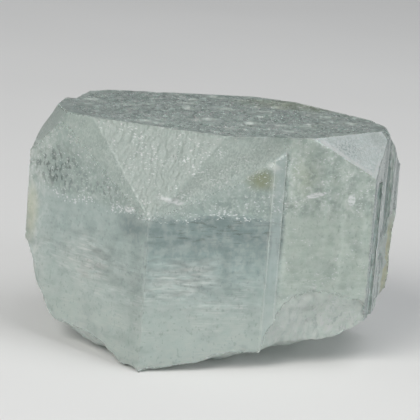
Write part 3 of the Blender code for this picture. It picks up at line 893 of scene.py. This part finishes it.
# three directions that run along none of the crystal's faces, and how to step past a face that was met
sightLines = [Vector(line).normalized() for line in ((0.31, 0.23, 0.92), (-0.57, 0.79, -0.22), (0.83, -0.41, 0.37))]
stepPast, mostFaces = 0.0005 * mm, 40


def crossings(tree, spot, along):
    count, start = 0, spot * mm
    while count < mostFaces:
        hit = tree.ray_cast(start, along)[0]
        if hit is None:
            break
        count += 1
        start = hit + along * stepPast
    return count


def depthInside(tree, spot):
    # a spot is inside where lines drawn from it in three directions all leave the crystal an odd number of times
    away = tree.find_nearest(spot * mm)[3] / mm
    return away if all(crossings(tree, spot, line) % 2 for line in sightLines) else -away


def clusteredSpots(tree, settings):
    dice = random.Random(settings["seed"])
    spots = []
    for centre, reach, count, alongs, acrosses, ups in settings["clusters"]:
        placed, tries = 0, 0
        while placed < count and tries < 40 * count:
            tries += 1
            place = Vector([dice.gauss(middle, width) for middle, width in zip(centre, reach)])
            size = Vector([dice.uniform(*span) for span in (alongs, acrosses, ups)])
            lean = math.radians(settings["tilt"])
            turn = Euler((dice.gauss(0, lean), dice.gauss(0, lean), dice.uniform(0, math.pi)))
            axes = turn.to_matrix()
            tips = [place + axes.col[axis] * size[axis] * side for axis in range(3) for side in (-1, 1)]
            if all(depthInside(tree, tip) > 0.10 for tip in tips):
                spots.append((place, size, Vector(turn)))
                placed += 1
    return spots


def flawSpots(tree):
    # grains set just under the front, found by looking in along +Y
    dice = random.Random(brightFlaws["seed"])
    wanted = list(brightFlaws["named"])
    least, more = brightFlaws["strewnSize"]
    for across, heights, count in brightFlaws["strewn"]:
        wanted += [
            (dice.uniform(*across), dice.uniform(*heights), least + more * dice.random() ** 2) for _ in range(count)]
    spots = []
    for x, height, size in wanted:
        hit, normal, _, _ = tree.ray_cast(Vector((x, -40.0, height)) * mm, Vector((0, 1, 0)))
        if hit is None:
            continue
        deep = size + dice.uniform(*brightFlaws["deep"])
        place = hit / mm - normal * deep
        shape = Vector((size, brightFlaws["thin"] * size, size * dice.uniform(*brightFlaws["tall"])))
        turn = Vector((dice.uniform(-0.3, 0.3), dice.uniform(-0.3, 0.3), dice.uniform(0, math.pi)))
        if depthInside(tree, place) > 0.5 * size:
            spots.append((place, shape, turn))
    return spots


def plainInclusion(name, dark, pale, rough, clear, glow=0.0):
    finish, tree, shader, _ = newMaterial(name)
    place = useGroup(tree, "place", {"Warp": 0.5})["Place"]
    patchy = useGroup(tree, "streak", {"Place": place, "Rate": (1.3, 1.3, 2.6), "Low": 0.35, "High": 0.65})[0]
    body = tint(tree, patchy, dark, pale)
    tree.links.new(body, shader.inputs["Base Color"])
    tree.links.new(reach(tree, patchy, 0.0, 1.0, (rough, rough + 0.15)), shader.inputs["Roughness"])
    shader.inputs["Transmission Weight"].default_value = clear
    # a faint painted glow, standing in for the glints of bright flaws
    if glow:
        shader.inputs["Emission Color"].default_value = pale
        shader.inputs["Emission Strength"].default_value = glow
    return finish


def fillCrystal(crystal):
    graph = bpy.context.evaluated_depsgraph_get()
    tree, strewn = BVHTree.FromObject(crystal, graph), strewTree()
    milk = plainInclusion("milkyVeil", colour(0.86, 0.90, 0.88), colour(0.97, 0.98, 0.97), 0.55, 0.0)
    tube = plainInclusion("growthTube", colour(0.70, 0.76, 0.74), colour(0.92, 0.95, 0.93), 0.35, 0.0)
    grain = plainInclusion("darkGrain", colour(0.05, 0.055, 0.05), colour(0.14, 0.14, 0.12), 0.4, 0.0)
    flaw = plainInclusion(
        "brightFlaw", colour(0.95, 0.97, 1.0), colour(1.0, 1.0, 1.0), 0.12, 0.0, brightFlaws["glow"])
    strew("basalVeils", clusteredSpots(tree, basalVeils), basalVeils, milk, strewn)
    strew("growthTubes", clusteredSpots(tree, growthTubes), growthTubes, tube, strewn)
    strew("darkGrains", clusteredSpots(tree, darkGrains), darkGrains, grain, strewn)
    strew("brightFlaws", flawSpots(tree), brightFlaws, flaw, strewn)


# floor, light and camera

studio = {
    "floorSize": 3.0, "floorTones": (colour(0.73, 0.73, 0.72), colour(0.76, 0.76, 0.75)), "floorRoughness": 0.85,
    "world": colour(0.55, 0.57, 0.60), "worldStrength": 0.42,
}
# each lamp: place in metres, size, power in watts, colour
lamps = {
    "keyLamp": ((-0.30, -0.50, 0.42), 0.40, 3.6, (1.0, 0.98, 0.95)),
    "fillLamp": ((0.50, -0.40, 0.25), 0.40, 1.3, (0.94, 0.97, 1.0)),
    "topLamp": ((0.20, -0.12, 0.58), 0.50, 1.2, (1.0, 1.0, 1.0)),
}
view = {"away": 168.84, "raised": 12.0, "rolled": 4.4, "lens": 180.0, "sensor": 36.0}


def layFloor():
    bm = bmesh.new()
    bmesh.ops.create_grid(bm, x_segments=12, y_segments=12, size=studio["floorSize"] / 2)
    mesh = bpy.data.meshes.new("studioFloor")
    bm.to_mesh(mesh)
    bm.free()
    floor = showMesh("studioFloor", mesh)
    finish, tree, shader, _ = newMaterial("paleFloor")
    spot = put(tree, "ShaderNodeTexCoord")["Object"]
    cloud = put(tree, "ShaderNodeTexNoise", {"Vector": spot, "Scale": 9.0, "Detail": 3.0})[0]
    soft = tint(tree, reach(tree, cloud, 0.3, 0.7), *studio["floorTones"])
    tree.links.new(soft, shader.inputs["Base Color"])
    shader.inputs["Roughness"].default_value = studio["floorRoughness"]
    mesh.materials.append(finish)


def hangLamps():
    for name, (place, size, power, hue) in lamps.items():
        lamp = bpy.data.lights.new(name, "AREA")
        lamp.shape, lamp.size, lamp.energy, lamp.color = "DISK", size, power, hue
        holder = bpy.data.objects.new(name, lamp)
        holder.location = place
        holder.rotation_euler = (middle * mm - Vector(place)).to_track_quat("-Z", "Y").to_euler()
        bpy.context.scene.collection.objects.link(holder)
    world = bpy.data.worlds.new("studioWorld")
    world.use_nodes = True
    sky = world.node_tree.nodes["Background"]
    sky.inputs["Color"].default_value = studio["world"]
    sky.inputs["Strength"].default_value = studio["worldStrength"]
    bpy.context.scene.world = world
    bpy.context.scene.view_settings.view_transform = "Standard"


def setCamera():
    lens = bpy.data.cameras.new("camera")
    lens.lens, lens.sensor_width = view["lens"], view["sensor"]
    lens.clip_start, lens.clip_end = 0.01, 10.0
    holder = bpy.data.objects.new("camera", lens)
    raised = math.radians(view["raised"])
    away = Vector((0.0, -math.cos(raised), math.sin(raised))) * view["away"]
    turn = Euler((math.radians(90.0 - view["raised"]), 0.0, 0.0)).to_matrix()
    turn = turn @ Matrix.Rotation(math.radians(view["rolled"]), 3, "Z")
    holder.location = (middle + away) * mm
    holder.rotation_euler = turn.to_euler()
    bpy.context.scene.collection.objects.link(holder)
    bpy.context.scene.camera = holder


crystal = growSkin()
crystal.data.materials.append(aquamarineMaterial())
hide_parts("aquamarine_crystal")
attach(crystal, "root")
print("crystal skin", len(crystal.data.polygons), "faces")
fillCrystal(crystal)

layFloor()
hangLamps()
setCamera()
print("stage set")
